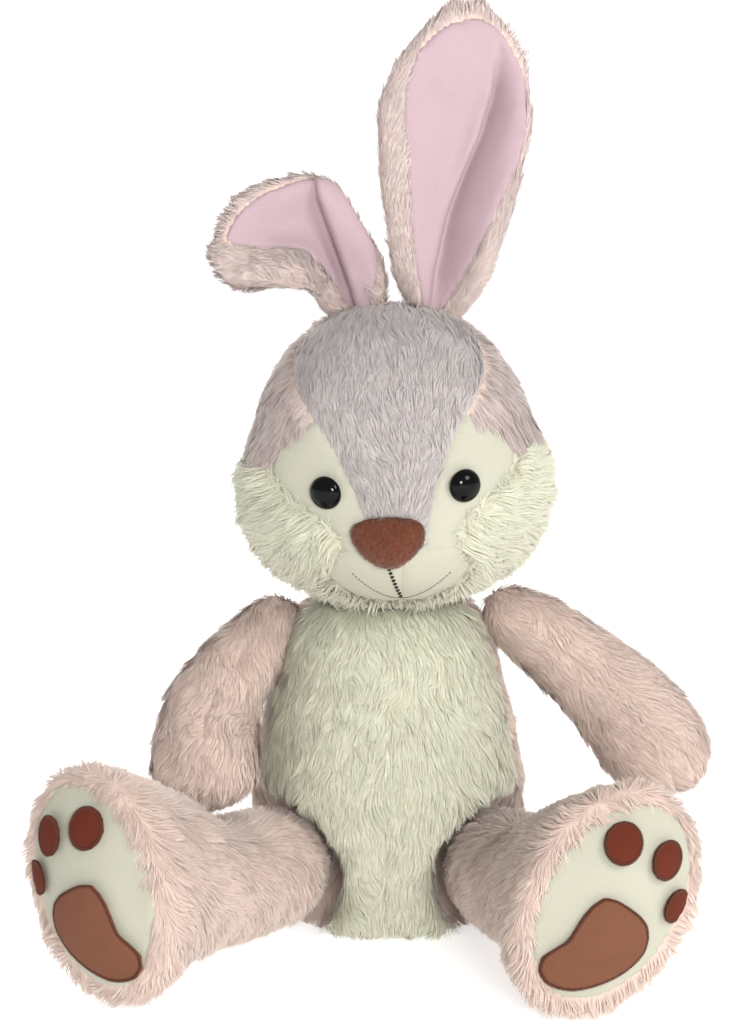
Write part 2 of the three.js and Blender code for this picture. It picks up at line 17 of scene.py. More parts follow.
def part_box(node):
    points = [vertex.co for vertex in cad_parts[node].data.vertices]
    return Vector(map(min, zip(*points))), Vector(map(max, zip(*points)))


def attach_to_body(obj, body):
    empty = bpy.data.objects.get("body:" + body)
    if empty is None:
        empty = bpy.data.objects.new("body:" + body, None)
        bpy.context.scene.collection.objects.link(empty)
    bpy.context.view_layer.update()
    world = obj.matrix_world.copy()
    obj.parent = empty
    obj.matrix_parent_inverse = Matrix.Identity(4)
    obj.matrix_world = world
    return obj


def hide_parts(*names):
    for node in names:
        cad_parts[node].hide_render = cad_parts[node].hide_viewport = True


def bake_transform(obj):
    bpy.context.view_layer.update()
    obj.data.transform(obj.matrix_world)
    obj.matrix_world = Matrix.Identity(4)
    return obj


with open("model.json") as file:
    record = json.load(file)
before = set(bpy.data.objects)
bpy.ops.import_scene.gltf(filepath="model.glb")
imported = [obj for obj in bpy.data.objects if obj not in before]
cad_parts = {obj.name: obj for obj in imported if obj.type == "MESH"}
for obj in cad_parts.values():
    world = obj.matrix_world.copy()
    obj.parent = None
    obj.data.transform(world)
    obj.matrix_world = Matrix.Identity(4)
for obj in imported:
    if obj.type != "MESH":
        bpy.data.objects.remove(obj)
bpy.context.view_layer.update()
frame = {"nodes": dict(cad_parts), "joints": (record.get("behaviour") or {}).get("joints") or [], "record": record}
NODES = frame["nodes"]
MM = 0.001
SIDES = ("left", "right")


# ------------------------------------------------------------------ materials
def srgb(r, g, b):
    """Linear colour from the 0-255 one that a swatch would show."""
    return tuple(
        (c / 12.92 if c <= 0.04045 else ((c + 0.055) / 1.055) ** 2.4)
        for c in (r / 255, g / 255, b / 255)
    ) + (1.0,)


def new_material(name, colour, roughness, sheen=0.0, tint=None):
    mat = bpy.data.materials.new(name)
    mat.use_nodes = True
    mat.diffuse_color = colour
    shader = mat.node_tree.nodes["Principled BSDF"]
    shader.inputs["Base Color"].default_value = colour
    shader.inputs["Roughness"].default_value = roughness
    shader.inputs["Specular IOR Level"].default_value = 0.2
    shader.inputs["Sheen Weight"].default_value = sheen
    shader.inputs["Sheen Roughness"].default_value = 0.6
    if tint:
        shader.inputs["Sheen Tint"].default_value = tint
    return mat


def fabric(name, colour, second, scale, bump, roughness=0.9, sheen=0.25, blotch=35.0):
    """Short cloth: two close colours in soft patches, and a fine nap from crossed noise."""
    mat = new_material(name, colour, roughness, sheen, colour)
    tree = mat.node_tree
    shader = tree.nodes["Principled BSDF"]
    coord = tree.nodes.new("ShaderNodeTexCoord")
    patches = tree.nodes.new("ShaderNodeTexNoise")
    patches.inputs["Scale"].default_value = blotch
    patches.inputs["Detail"].default_value = 4.0
    nap = tree.nodes.new("ShaderNodeTexNoise")
    nap.inputs["Scale"].default_value = scale
    nap.inputs["Detail"].default_value = 3.0
    nap.inputs["Roughness"].default_value = 0.7
    both = tree.nodes.new("ShaderNodeMath")
    both.operation = "MULTIPLY_ADD"
    both.inputs[1].default_value = 0.55
    ramp = tree.nodes.new("ShaderNodeValToRGB")
    ramp.color_ramp.elements[0].position = 0.3
    ramp.color_ramp.elements[0].color = second
    ramp.color_ramp.elements[1].position = 0.78
    ramp.color_ramp.elements[1].color = colour
    lift = tree.nodes.new("ShaderNodeBump")
    lift.inputs["Strength"].default_value = bump
    lift.inputs["Distance"].default_value = 0.0006
    link = tree.links.new
    link(coord.outputs["Object"], patches.inputs["Vector"])
    link(coord.outputs["Object"], nap.inputs["Vector"])
    link(nap.outputs["Fac"], both.inputs[0])
    link(patches.outputs["Fac"], both.inputs[2])
    link(both.outputs[0], ramp.inputs["Fac"])
    link(ramp.outputs["Color"], shader.inputs["Base Color"])
    link(nap.outputs["Fac"], lift.inputs["Height"])
    link(lift.outputs["Normal"], shader.inputs["Normal"])
    return mat


# Each pile has four shades; the third and fourth are darker and warmer and go mostly on the root halves of the
# strands: partly the pile's warmer root tone, partly painted shade deep in the pile.
PINK = [(205, 184, 172), (210, 191, 180), (201, 178, 165), (197, 171, 157)]
GREY_PINK = [(176, 168, 166), (183, 176, 174), (170, 161, 158), (163, 152, 148)]
CREAM = [(200, 199, 178), (205, 205, 186), (196, 194, 171), (191, 188, 163)]
LILAC_PINK = [(190, 174, 169), (196, 181, 176), (184, 167, 161), (181, 160, 152)]
VELVET = [(104, 54, 31), (116, 63, 38), (92, 46, 25), (80, 38, 19)]
PILE_SHADES = {
    "pink_fur": PINK,
    "lilac_pink_fur": LILAC_PINK,
    "grey_pink_fur": GREY_PINK,
    "cream_fur": CREAM,
    "nose_velvet": VELVET,
}

BACKING = {
    "pink_fur": fabric("pink_backing", srgb(204, 182, 170), srgb(198, 174, 160), 900, 0.6),
    "grey_pink_fur": fabric("grey_pink_backing", srgb(171, 162, 159), srgb(160, 149, 146), 900, 0.6),
    "cream_fur": fabric("cream_backing", srgb(198, 195, 174), srgb(192, 188, 164), 900, 0.6),
    "cream_velour": fabric("cream_velour", srgb(175, 173, 157), srgb(168, 166, 148), 1100, 0.35),
    "ear_lining": fabric("ear_lining_velour", srgb(170, 148, 153), srgb(160, 137, 143), 1100, 0.3),
    "rust_applique": fabric("rust_applique_velour", srgb(92, 38, 24), srgb(72, 26, 15), 1500, 0.6),
    "brown_applique": fabric("brown_applique_velour", srgb(112, 72, 53), srgb(98, 60, 43), 1500, 0.6),
    "nose_velvet": fabric("nose_velvet_pile", srgb(104, 55, 32), srgb(84, 41, 22), 1300, 0.7),
    "filling": fabric("filling_fibre", srgb(244, 244, 240), srgb(228, 228, 224), 400, 0.8),
    "washer_plastic": new_material("washer_white_plastic", srgb(228, 228, 222), 0.4),
    "thread": fabric("mouth_thread", srgb(44, 37, 34), srgb(30, 25, 23), 2600, 0.5, 0.7, 0.1),
    "smile_thread": fabric("smile_thread", srgb(96, 88, 80), srgb(74, 66, 60), 2600, 0.5, 0.7, 0.1),
    "edge_thread": fabric("edge_thread_satin", srgb(84, 46, 33), srgb(62, 30, 20), 2600, 0.5, 0.55, 0.2),
}
PILE = {
    name: [
        new_material(f"{name}_pile_{i}", srgb(*shade), 0.85, 0.35, srgb(255, 250, 246))
        for i, shade in enumerate(shades)
    ]
    for name, shades in PILE_SHADES.items()
}
SLOT_OF = {row["node"]: row["material_slot"] for row in frame["record"]["subparts"]}


# ------------------------------------------------------------------ meshes
def add_object(name, mesh):
    obj = bpy.data.objects.new(name, mesh)
    bpy.context.scene.collection.objects.link(obj)
    return obj


def coords(mesh):
    co = np.empty(len(mesh.vertices) * 3, np.float32)
    mesh.vertices.foreach_get("co", co)
    return co.reshape(-1, 3).astype(float)


def set_coords(mesh, co):
    mesh.vertices.foreach_set("co", np.asarray(co, np.float32).ravel())
    mesh.update()


def vertex_normals(mesh):
    flat = np.empty(len(mesh.vertices) * 3, np.float32)
    mesh.vertex_normals.foreach_get("vector", flat)
    return flat.reshape(-1, 3).astype(float)


def triangles(mesh):
    mesh.calc_loop_triangles()
    flat = np.empty(len(mesh.loop_triangles) * 3, np.int32)
    mesh.loop_triangles.foreach_get("vertices", flat)
    return flat.reshape(-1, 3)


def edges_of(mesh):
    flat = np.empty(len(mesh.edges) * 2, np.int32)
    mesh.edges.foreach_get("vertices", flat)
    return flat.reshape(-1, 2)


def evaluated(obj):
    """A plain copy of the mesh with its modifiers in it."""
    graph = bpy.context.evaluated_depsgraph_get()
    return bpy.data.meshes.new_from_object(obj.evaluated_get(graph), depsgraph=graph)


def bake_modifiers(obj):
    mesh = evaluated(obj)
    obj.modifiers.clear()
    obj.data = mesh
    return obj


def relax(values, edges, rounds, count, keep=None):
    """Averages a value over neighbouring vertices; keep marks those that stay."""
    values = np.array(values, float)
    shape = (count,) + (1,) * (values.ndim - 1)
    degree = np.bincount(edges.ravel(), minlength=count).reshape(shape)
    degree = np.maximum(degree, 1)
    for _ in range(rounds):
        total = np.zeros_like(values)
        np.add.at(total, edges[:, 0], values[edges[:, 1]])
        np.add.at(total, edges[:, 1], values[edges[:, 0]])
        mean = total / degree
        if keep is not None:
            mean[keep] = values[keep]
        values = 0.5 * values + 0.5 * mean
    return values


def biggest_part(mesh):
    """Drops every loose part but the one with the widest box, such as an air pocket's wall."""
    bm = bmesh.new()
    bm.from_mesh(mesh)
    left = set(bm.verts)
    parts = []
    while left:
        start = left.pop()
        part, queue = {start}, [start]
        while queue:
            for edge in queue.pop().link_edges:
                for v in edge.verts:
                    if v in left:
                        left.discard(v)
                        part.add(v)
                        queue.append(v)
        co = np.array([v.co for v in part])
        parts.append((np.linalg.norm(co.max(0) - co.min(0)), part))
    parts.sort(key=lambda p: -p[0])
    for _, part in parts[1:]:
        bmesh.ops.delete(bm, geom=list(part), context="VERTS")
    bm.to_mesh(mesh)
    bm.free()


# ------------------------------------------------------------------ skins
def node_mesh(name, grow=0.0):
    mesh = NODES[name].data.copy()
    if grow:
        set_coords(mesh, coords(mesh) + vertex_normals(mesh) * grow)
    return mesh


def merged(meshes):
    bm = bmesh.new()
    for mesh in meshes:
        bm.from_mesh(mesh)
    bmesh.ops.remove_doubles(bm, verts=bm.verts, dist=1e-6)
    out = bpy.data.meshes.new("merged")
    bm.to_mesh(out)
    bm.free()
    return out


def raw_skin(name, panels, fill, voxel, smooth):
    """One closed skin round a body's panels and its filling."""
    meshes = [node_mesh(p) for p in panels]
    if fill:
        meshes.append(node_mesh(fill, 2.6 * MM))
    skin = add_object(name, merged(meshes))
    remesh = skin.modifiers.new("remesh", "REMESH")
    remesh.mode = "VOXEL"
    remesh.voxel_size = voxel
    bake_modifiers(skin)
    biggest_part(skin.data)
    mesh = skin.data
    edges = edges_of(mesh)
    start = coords(mesh)
    soft = relax(start, edges, smooth, len(start))
    # the averaging shrinks a round skin, so it is let out again by what it lost
    lost = np.einsum("ij,ij->i", start - soft, vertex_normals(mesh))
    lost = relax(lost, edges, 30, len(start))
    set_coords(mesh, soft + vertex_normals(mesh) * lost[:, None])
    return skin


def nearest_panel(points, panels):
    """Which panel each point is nearest to."""
    best = np.full(len(points), 1e9)
    label = np.zeros(len(points), int)
    for i, name in enumerate(panels):
        mesh = NODES[name].data
        tree = BVHTree.FromPolygons([v.co for v in mesh.vertices], [p.vertices for p in mesh.polygons])
        for k, p in enumerate(points):
            distance = tree.find_nearest(p)[3]
            if distance < best[k]:
                best[k], label[k] = distance, i
    return label


def face_labels(mesh, panels):
    centres = np.empty(len(mesh.polygons) * 3, np.float32)
    mesh.polygons.foreach_get("center", centres)
    return nearest_panel(centres.reshape(-1, 3), panels)


def seam_edges(mesh, labels):
    """Edges with different panels on their two sides, as a mask over the edges."""
    keys = {}
    loops = np.empty(len(mesh.loops), np.int32)
    mesh.loops.foreach_get("edge_index", loops)
    mask = np.zeros(len(mesh.edges), bool)
    for poly in mesh.polygons:
        for k in poly.loop_indices:
            edge = loops[k]
            if edge in keys and keys[edge] != labels[poly.index]:
                mask[edge] = True
            keys[edge] = labels[poly.index]
    return mask


def store_labels(mesh, labels):
    attribute = mesh.attributes.get("panel") or mesh.attributes.new("panel", "INT", "FACE")
    attribute.data.foreach_set("value", labels.astype(np.int32))


def read_labels(mesh):
    out = np.empty(len(mesh.polygons), np.int32)
    mesh.attributes["panel"].data.foreach_get("value", out)
    return out


def straighten_seams(mesh, labels, rounds=30):
    """Draws the zigzag of each panel's edge out into a smooth line along the skin."""
    edges = edges_of(mesh)
    mask = seam_edges(mesh, labels)
    line = edges[mask]
    co = coords(mesh)
    tree = BVHTree.FromPolygons(co.tolist(), [p.vertices for p in mesh.polygons])
    on_line = np.unique(line)
    degree = np.bincount(line.ravel(), minlength=len(co))
    joints = np.where(degree > 2)[0]
    for _ in range(rounds):
        moved = relax(co, line, 1, len(co), keep=joints)
        co[on_line] = moved[on_line]
    for i in on_line:
        co[i] = tree.find_nearest(co[i])[0]
    inner = np.ones(len(co), bool)
    inner[on_line] = False
    co = relax(co, edges, 2, len(co), keep=~inner)
    set_coords(mesh, co)
    return mask


SINK = {"pink_fur": 1.3, "grey_pink_fur": 1.0, "cream_fur": 1.3, "ear_lining": 0.2, "cream_velour": 0.6}


def inside(points, outline):
    """Which points lie inside an outline, both given as x and z in mm."""
    x, z = points[:, 0], points[:, 1]
    hit = np.zeros(len(points), bool)
    for (x0, z0), (x1, z1) in zip(outline, outline[1:] + outline[:1]):
        if z0 != z1:
            cross = (z0 > z) != (z1 > z)
            hit ^= cross & (x < (x1 - x0) * (z - z0) / (z1 - z0) + x0)
    return hit


EARS = {
    "ear_left": dict(
        lining=[
            (6.4, 334), (6.4, 319), (8, 299), (10.8, 279), (14, 261), (16.5, 251), (23, 261), (33, 273),
            (43.5, 287), (52, 303), (56, 320), (55, 337), (46.5, 355), (37, 362), (23, 360), (11, 350),
        ],
        crease=[(42, 346), (39.6, 331), (34.8, 315), (28, 299), (22, 285), (18, 271), (16.8, 258)],
        flap=-1, forward=3.0, back=9.0, fade=11.0,
    ),
    "ear_right": dict(
        lining=[
            (-66, 276), (-59, 287), (-47, 295.5), (-27, 301), (-15, 301), (-6.5, 293), (-5, 279),
            (-9, 265), (-14.4, 252), (-21, 266), (-31, 271.5), (-41, 274), (-55, 273.5),
        ],
        crease=[(-29, 303), (-27, 292), (-22, 279), (-17, 267), (-14.5, 256)],
        flap=1, forward=3.5, back=7.0, fade=8.0,
    ),
}


def fold_ear(mesh, ear):
    """Sinks the ear's front on one side of its crease and lets the flap on the other lie over it."""
    co = coords(mesh)
    line = np.array(ear["crease"], float)[::-1]
    z = co[:, 2] / MM
    middle_x = np.interp(z, line[:, 1], line[:, 0])
    away = (co[:, 0] / MM - middle_x) * ear["flap"]
    ends = np.clip((z - line[0, 1] + 6) / 18, 0, 1) * np.clip((line[-1, 1] + 8 - z) / 22, 0, 1)
    over = 1 / (1 + np.exp(-away / 0.7))
    lift = over * ear["forward"] * np.exp(-np.abs(away) / ear["fade"])
    drop = (1 - over) * ear["back"] * np.exp(-np.abs(away) / ear["fade"])
    co[:, 1] += (drop - lift) * ends * MM
    tuck = over * np.exp(-np.abs(away) / 3.0) * 2.5
    co[:, 0] -= tuck * ends * ear["flap"] * MM * (vertex_normals(mesh)[:, 1] < 0.2)
    set_coords(mesh, co)


def ear_labels(mesh, panels, ear):
    """The lining is the part of the ear's front within its outline; the rest is the outer ear."""
    centres = np.empty(len(mesh.polygons) * 3, np.float32)
    mesh.polygons.foreach_get("center", centres)
    facing = np.empty(len(mesh.polygons) * 3, np.float32)
    mesh.polygons.foreach_get("normal", facing)
    flat = centres.reshape(-1, 3)[:, [0, 2]] / MM
    front = facing.reshape(-1, 3)[:, 1] < -0.05
    names = ["lining" in p for p in panels]
    return np.where(front & inside(flat, ear["lining"]), names.index(True), names.index(False))


def sink_panels(mesh, labels, panels, scale=1.0):
    """Lowers the cloth under long pile, so that the pile's tips end where the panel's outside is."""
    count = len(mesh.vertices)
    depth = np.zeros(count)
    uses = np.zeros(count)
    for poly in mesh.polygons:
        sink = SINK[SLOT_OF[panels[labels[poly.index]]]]
        for v in poly.vertices:
            depth[v] += sink
            uses[v] += 1
    depth = relax(depth / np.maximum(uses, 1), edges_of(mesh), 4, count)
    set_coords(mesh, coords(mesh) - vertex_normals(mesh) * (depth * MM * scale)[:, None])


def swell(skins, pressure, cap, frames=20):
    """Blows the skins up a little as cloth, held at their seams, so that each panel crowns."""
    scene = bpy.context.scene
    rest = {}
    for skin in skins:
        mesh = skin.data
        rest[skin.name] = coords(mesh)
        line = np.unique(edges_of(mesh)[seam_edges(mesh, read_labels(mesh))])
        group = skin.vertex_groups.new(name="seams")
        group.add([int(i) for i in line], 0.85, "REPLACE")
        cloth = skin.modifiers.new("cloth", "CLOTH")
        cloth.settings.quality = 4
        cloth.settings.mass = 0.2
        cloth.settings.tension_stiffness = 12
        cloth.settings.compression_stiffness = 12
        cloth.settings.shear_stiffness = 6
        cloth.settings.bending_stiffness = 0.6
        cloth.settings.use_pressure = True
        cloth.settings.uniform_pressure_force = pressure
        cloth.settings.vertex_group_mass = "seams"
        cloth.settings.pin_stiffness = 1.0
        cloth.settings.effector_weights.gravity = 0
        cloth.collision_settings.use_collision = False
        cloth.point_cache.frame_end = frames
    for f in range(1, frames + 1):
        scene.frame_set(f)
    for skin in skins:
        blown = coords(evaluated(skin))
        skin.modifiers.clear()
        move = blown - rest[skin.name]
        far = np.linalg.norm(move, axis=1)
        move *= (np.minimum(far, cap) / np.maximum(far, 1e-9))[:, None]
        move = relax(move, edges_of(skin.data), 2, len(move))
        set_coords(skin.data, rest[skin.name] + move)
    scene.frame_set(1)


def groove(mesh, labels, depth, rounds=2):
    """Draws the skin in along its seams."""
    count = len(mesh.vertices)
    edges = edges_of(mesh)
    pull = np.zeros(count)
    pull[np.unique(edges[seam_edges(mesh, labels)])] = 1.0
    pull = relax(pull, edges, rounds, count)
    pull /= max(pull.max(), 1e-6)
    set_coords(mesh, coords(mesh) - vertex_normals(mesh) * (pull * depth)[:, None])


def subdivided(skin, levels=1):
    mod = skin.modifiers.new("smooth", "SUBSURF")
    mod.levels = levels
    mod.render_levels = levels
    bake_modifiers(skin)


def split_panels(skin, panels):
    """One object per panel, cut from the skin along its seams, each with its own cloth."""
    mesh = skin.data
    labels = read_labels(mesh)
    out = {}
    for i, name in enumerate(panels):
        part = mesh.copy()
        bm = bmesh.new()
        bm.from_mesh(part)
        bm.faces.ensure_lookup_table()
        bmesh.ops.delete(bm, geom=[f for f in bm.faces if labels[f.index] != i], context="FACES")
        for f in bm.faces:
            f.smooth = True
            f.material_index = 0
        bm.to_mesh(part)
        bm.free()
        part.materials.clear()
        part.materials.append(BACKING[SLOT_OF[name]])
        piece = add_object(f"{name}_cloth", part)
        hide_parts(name)
        out[name] = piece
    bpy.data.objects.remove(skin)
    return out


# ------------------------------------------------------------------ pile
def unit(v):
    return v / np.maximum(np.linalg.norm(v, axis=-1, keepdims=True), 1e-12)


def flat_on(v, normal):
    """v without its part along the normal."""
    return v - np.einsum("ij,ij->i", v, normal)[:, None] * normal


def scatter(mesh, per_mm2, rng):
    """Random roots over a mesh, with their smooth normals."""
    co, nor, tri = coords(mesh), vertex_normals(mesh), triangles(mesh)
    a, b, c = (co[tri[:, k]] for k in range(3))
    area = np.linalg.norm(np.cross(b - a, c - a), axis=1) / 2
    count = int(area.sum() * 1e6 * per_mm2)
    pick = rng.choice(len(tri), count, p=area / area.sum())
    u, v = rng.random(count), rng.random(count)
    over = u + v > 1
    u[over], v[over] = 1 - u[over], 1 - v[over]
    w = 1 - u - v
    root = a[pick] * w[:, None] + b[pick] * u[:, None] + c[pick] * v[:, None]
    n = (
        nor[tri[pick, 0]] * w[:, None]
        + nor[tri[pick, 1]] * u[:, None]
        + nor[tri[pick, 2]] * v[:, None]
    )
    return root, unit(n)


def wander(points, size, seed):
    """Smooth pseudo-random vectors over space: a few sine waves with seeded directions."""
    rng = np.random.default_rng(seed)
    out = np.zeros_like(points)
    for k in range(5):
        wave = unit(rng.normal(size=(1, 3)))[0] * 2 * math.pi / (size * (0.6 + 0.35 * k))
        side = unit(rng.normal(size=(1, 3)))[0]
        out += np.sin(points @ wave + rng.random() * 6.28)[:, None] * side
    return out / 2.2


def grow_pile(
    name, cloth, slot, comb, length, per_mm2,
    lean=0.85, width=0.55, clump=4.5, seed=1, pull=0.3, shades=None,
):
    """Pile on a cloth as tapered ribbons that lean along comb(points, normals), in locks."""
    rng = np.random.default_rng(seed)
    root, n = scatter(cloth.data, per_mm2, rng)
    count = len(root)
    way = unit(flat_on(comb(root, n), n) + 1e-9)
    way = way + 0.5 * wander(root, 0.034, seed) + 0.4 * wander(root, 0.011, seed + 7)
    way = unit(flat_on(way, n))

    # each root joins the nearest lock, and the lock's strands meet towards its tip
    locks = rng.permutation(count)[: max(1, int(count / (per_mm2 * clump * clump)))]
    tree = KDTree(len(locks))
    for i, k in enumerate(locks):
        tree.insert(root[k], i)
    tree.balance()
    mine = locks[np.array([tree.find(p)[1] for p in root])]

    tall = length * MM * (0.75 + 0.4 * rng.random(count)) * (0.85 + 0.3 * rng.random(count)[mine])
    lift = lean + 0.05 * rng.normal(size=count) + 0.07 * rng.normal(size=count)[mine]
    lift = np.clip(lift, 0.25, 1.5)
    start = n * np.cos(lift * 0.95)[:, None] + way * np.sin(lift * 0.95)[:, None]
    finish = n * np.cos(lift * 1.06)[:, None] + way * np.sin(lift * 1.06)[:, None]
    stray = 0.06 * rng.normal(size=(count, 3))
    curl = (0.3 * rng.normal(size=count)[mine] + 0.1 * rng.normal(size=count))[:, None]
    start, finish = unit(start + stray * 0.6), unit(finish + stray + curl * np.cross(n, way))
    mid = root + start * (tall * 0.55)[:, None]
    tip = mid + finish * (tall * 0.45)[:, None]
    gather = pull * (0.5 + rng.random(count)[mine])
    shift = (root[mine] - root) - n * np.einsum("ij,ij->i", root[mine] - root, n)[:, None]
    mid = mid + shift * (gather * 0.35)[:, None]
    tip = tip + shift * gather[:, None]

    broad = width * MM * (0.7 + 0.6 * rng.random(count)) / 2
    side = unit(np.cross(way, n) + 0.12 * rng.normal(size=(count, 3)))
    out = np.einsum("ij,ij->i", np.cross(side, unit(tip - root)), n)
    side = side * np.where(out < 0, -1.0, 1.0)[:, None]
    near = side * broad[:, None]
    points = np.stack([root - near, root + near, mid - near * 0.95, mid + near * 0.95, tip], 1)
    tuft = unit(n + 0.1 * rng.normal(size=(count, 3))[mine] + 0.1 * rng.normal(size=(count, 3)))
    facing = np.stack([tuft] * 5, 1)

    mesh = bpy.data.meshes.new(name)
    base = np.arange(count)[:, None] * 5
    quad = np.concatenate([base + 0, base + 1, base + 3, base + 2], 1)
    tri = np.concatenate([base + 2, base + 3, base + 4], 1)
    loops = np.concatenate([quad, tri], 1).ravel()
    totals = np.tile([4, 3], count)
    starts = np.concatenate([[0], np.cumsum(totals)[:-1]])
    mesh.vertices.add(count * 5)
    mesh.vertices.foreach_set("co", points.astype(np.float32).ravel())
    mesh.loops.add(len(loops))
    mesh.loops.foreach_set("vertex_index", loops.astype(np.int32))
    mesh.polygons.add(len(totals))
    mesh.polygons.foreach_set("loop_start", starts.astype(np.int32))
    mesh.update(calc_edges=True)

    # the root half of each strand (the quad) takes one of the two darker, warmer shades half the time: partly the
    # pile's warmer root tone, partly painted shade deep in the pile; the tip triangle keeps a shade picked at
    # random
    shade = rng.choice([0, 0, 0, 1, 1, 2], count)
    root_tone_and_shade = np.where(rng.random(count) < 0.3, 3, 2)
    root_tone_and_shade = np.where(rng.random(count) < 0.5, root_tone_and_shade, shade)
    index = np.stack([root_tone_and_shade, shade], 1).ravel()
    for mat in PILE[shades or slot]:
        mesh.materials.append(mat)
    mesh.polygons.foreach_set("material_index", index.astype(np.int32))
    mesh.polygons.foreach_set("use_smooth", np.ones(len(totals), bool))
    mesh.normals_split_custom_set_from_vertices(facing.reshape(-1, 3).tolist())
    pile = add_object(name, mesh)
    return pile


# ------------------------------------------------------------------ the bodies
BODY_NODES = frame["record"]["behaviour"]["bodies"]


def panel_list(body, *words):
    return [n for n in BODY_NODES[body] if any(w in n for w in words)]


def middle(node):
    low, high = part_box(node)
    return (np.array(low) + np.array(high)) / 2


BODIES = {
    "torso": dict(words=("_panel",), fill="torso_filling", voxel=3.6, smooth=10),
    "head": dict(words=("blaze", "patch", "cheek", "chin_", "head_side", "head_back"), fill="head_filling",
                 voxel=3.2, smooth=8),
}
for s in SIDES:
    BODIES[f"arm_{s}"] = dict(words=("panel",), fill=f"arm_{s}_filling", voxel=3.0, smooth=10)
    BODIES[f"leg_{s}"] = dict(words=("panel", "sole"), fill=f"leg_{s}_filling", voxel=3.2, smooth=8)
    BODIES[f"ear_{s}"] = dict(words=("outer", "lining"), fill=None, voxel=2.2, smooth=6)

JOINTS = {j["child"]: j for j in frame["joints"]}


def limb_line(body):
    """A limb's pivot and its direction away from what it is sewn to."""
    pivot = np.array(JOINTS[body]["pos_m"], float)
    far = np.mean([middle(n) for n in BODY_NODES[body]], axis=0)
    return pivot, unit((far - pivot)[None])[0]


def stretch_root(skin, body, reach, amount, toward):
    """Draws a limb's sewn end out towards what it is sewn to, fading over reach mm."""
    pivot, along = (np.zeros(3), np.array([0, 0, -1.0])) if body == "torso" else limb_line(body)
    co = coords(skin.data)
    ahead = (co - pivot) @ along / MM
    low = ahead.min()
    share = np.clip(1 - (ahead - low) / reach, 0, 1)
    share = share * share * (3 - 2 * share)
    set_coords(skin.data, co + share[:, None] * np.array(toward) * amount * MM)


ROOT_STRETCH = {
    "torso": (28, 7, (0.0, 0.0, 1.0)),
    "ear_left": (45, 14, (-0.1, 0.0, -1.0)),
    "ear_right": (35, 16, (0.25, 0.0, -1.0)),
    "arm_left": (44, 14, (-0.75, 0.0, 0.65)),
    "arm_right": (44, 14, (0.95, 0.0, 0.3)),
}

skins = {}
for body, how in BODIES.items():
    panels = panel_list(body, *how["words"])
    skin = raw_skin(f"{body}_skin", panels, how["fill"], how["voxel"] * MM, how["smooth"])
    if body in EARS:
        labels = ear_labels(skin.data, panels, EARS[body])
    else:
        labels = face_labels(skin.data, panels)
    store_labels(skin.data, labels)
    straighten_seams(skin.data, labels)
    sink_panels(skin.data, labels, panels, 0.6 if body.startswith("ear") else 1.0)
    if body in EARS:
        subdivided(skin)
        fold_ear(skin.data, EARS[body])
    if body in ROOT_STRETCH:
        stretch_root(skin, body, *ROOT_STRETCH[body])
    skins[body] = skin
    how["panels"] = panels

swell([skins[b] for b in BODIES if not b.startswith("ear")], 3.5, 4 * MM)

cloths = {}
for body, skin in skins.items():
    if body not in EARS:
        subdivided(skin)
    groove(skin.data, read_labels(skin.data), 1.0 * MM)
    for name, piece in split_panels(skin, BODIES[body]["panels"]).items():
        cloths[name] = (body, piece)

def attach(piece, body):
    """Rides on the body, unless it is a limb or an ear, whose piece only has its transform baked into its mesh."""
    if not body.startswith(("arm", "leg", "ear")):
        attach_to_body(piece, body)
        return
    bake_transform(piece)


# ------------------------------------------------------------------ combing
HEAD_MIDDLE = middle("head_filling")
MUZZLE = middle("nose")


def down(points, normals):
    return np.tile([0.0, 0.0, -1.0], (len(points), 1)) + 0.0 * points


def every_way(points, normals):
    return wander(points, 0.004, 3)


def forehead(points, normals):
    away = points - (MUZZLE + np.array([0, 0, -0.01]))
    return unit(away * [0.6, 0.2, 1.0]) + [0, 0, 0.4]


def from_muzzle(points, normals):
    away = unit(points - (MUZZLE + np.array([0, 0.012, 0.006])))
    return away + np.array([0, 0.35, -0.6])


def back_and_down(points, normals):
    return np.tile([0.0, 0.55, -0.85], (len(points), 1))


def from_crown(points, normals):
    crown = np.array([HEAD_MIDDLE[0], HEAD_MIDDLE[1] - 0.01, HEAD_MIDDLE[2] + 0.06])
    return unit(points - crown) + np.array([0, 0, -0.3])


def limb_comb(body, forward=1.0):
    along = limb_line(body)[1]

    def comb(points, normals):
        return np.tile(along * forward, (len(points), 1)) + np.array([0, 0, -0.35])

    return comb


for number, (name, (body, cloth)) in enumerate(cloths.items()):
    slot = SLOT_OF[name]
    attach(cloth, body)
    if slot not in PILE:
        continue
    if "blaze" in name:
        look = dict(comb=forehead, length=6, per_mm2=2.0, lean=1.36, width=0.4, clump=3.2)
    elif "cheek" in name or "chin" in name:
        look = dict(
            comb=from_muzzle, length=11, per_mm2=1.7, lean=1.28, width=0.42, clump=5, pull=0.12
        )
        fray = grow_pile(
            f"{name}_undercoat", cloth, slot, every_way,
            length=6, per_mm2=0.9, lean=1.1, width=0.36, seed=number + 71, pull=0.0,
        )
        attach(fray, body)
    elif "head" in name:
        look = dict(comb=from_crown, length=7, per_mm2=1.7, lean=1.36, width=0.42)
        look.update(shades="lilac_pink_fur")
    elif body == "torso":
        look = dict(comb=down, length=8, per_mm2=1.7, lean=1.36, width=0.42)
    elif body.startswith("ear"):
        look = dict(comb=limb_comb(body), length=5, per_mm2=1.8, lean=1.36, width=0.4, clump=3.2)
        look.update(shades="lilac_pink_fur")
    else:
        look = dict(comb=limb_comb(body), length=7, per_mm2=1.7, lean=1.36, width=0.42)
    if body.startswith("leg"):
        look.update(comb=back_and_down)
    pile = grow_pile(f"{name}_pile", cloth, slot, seed=number + 11, **look)
    attach(pile, body)


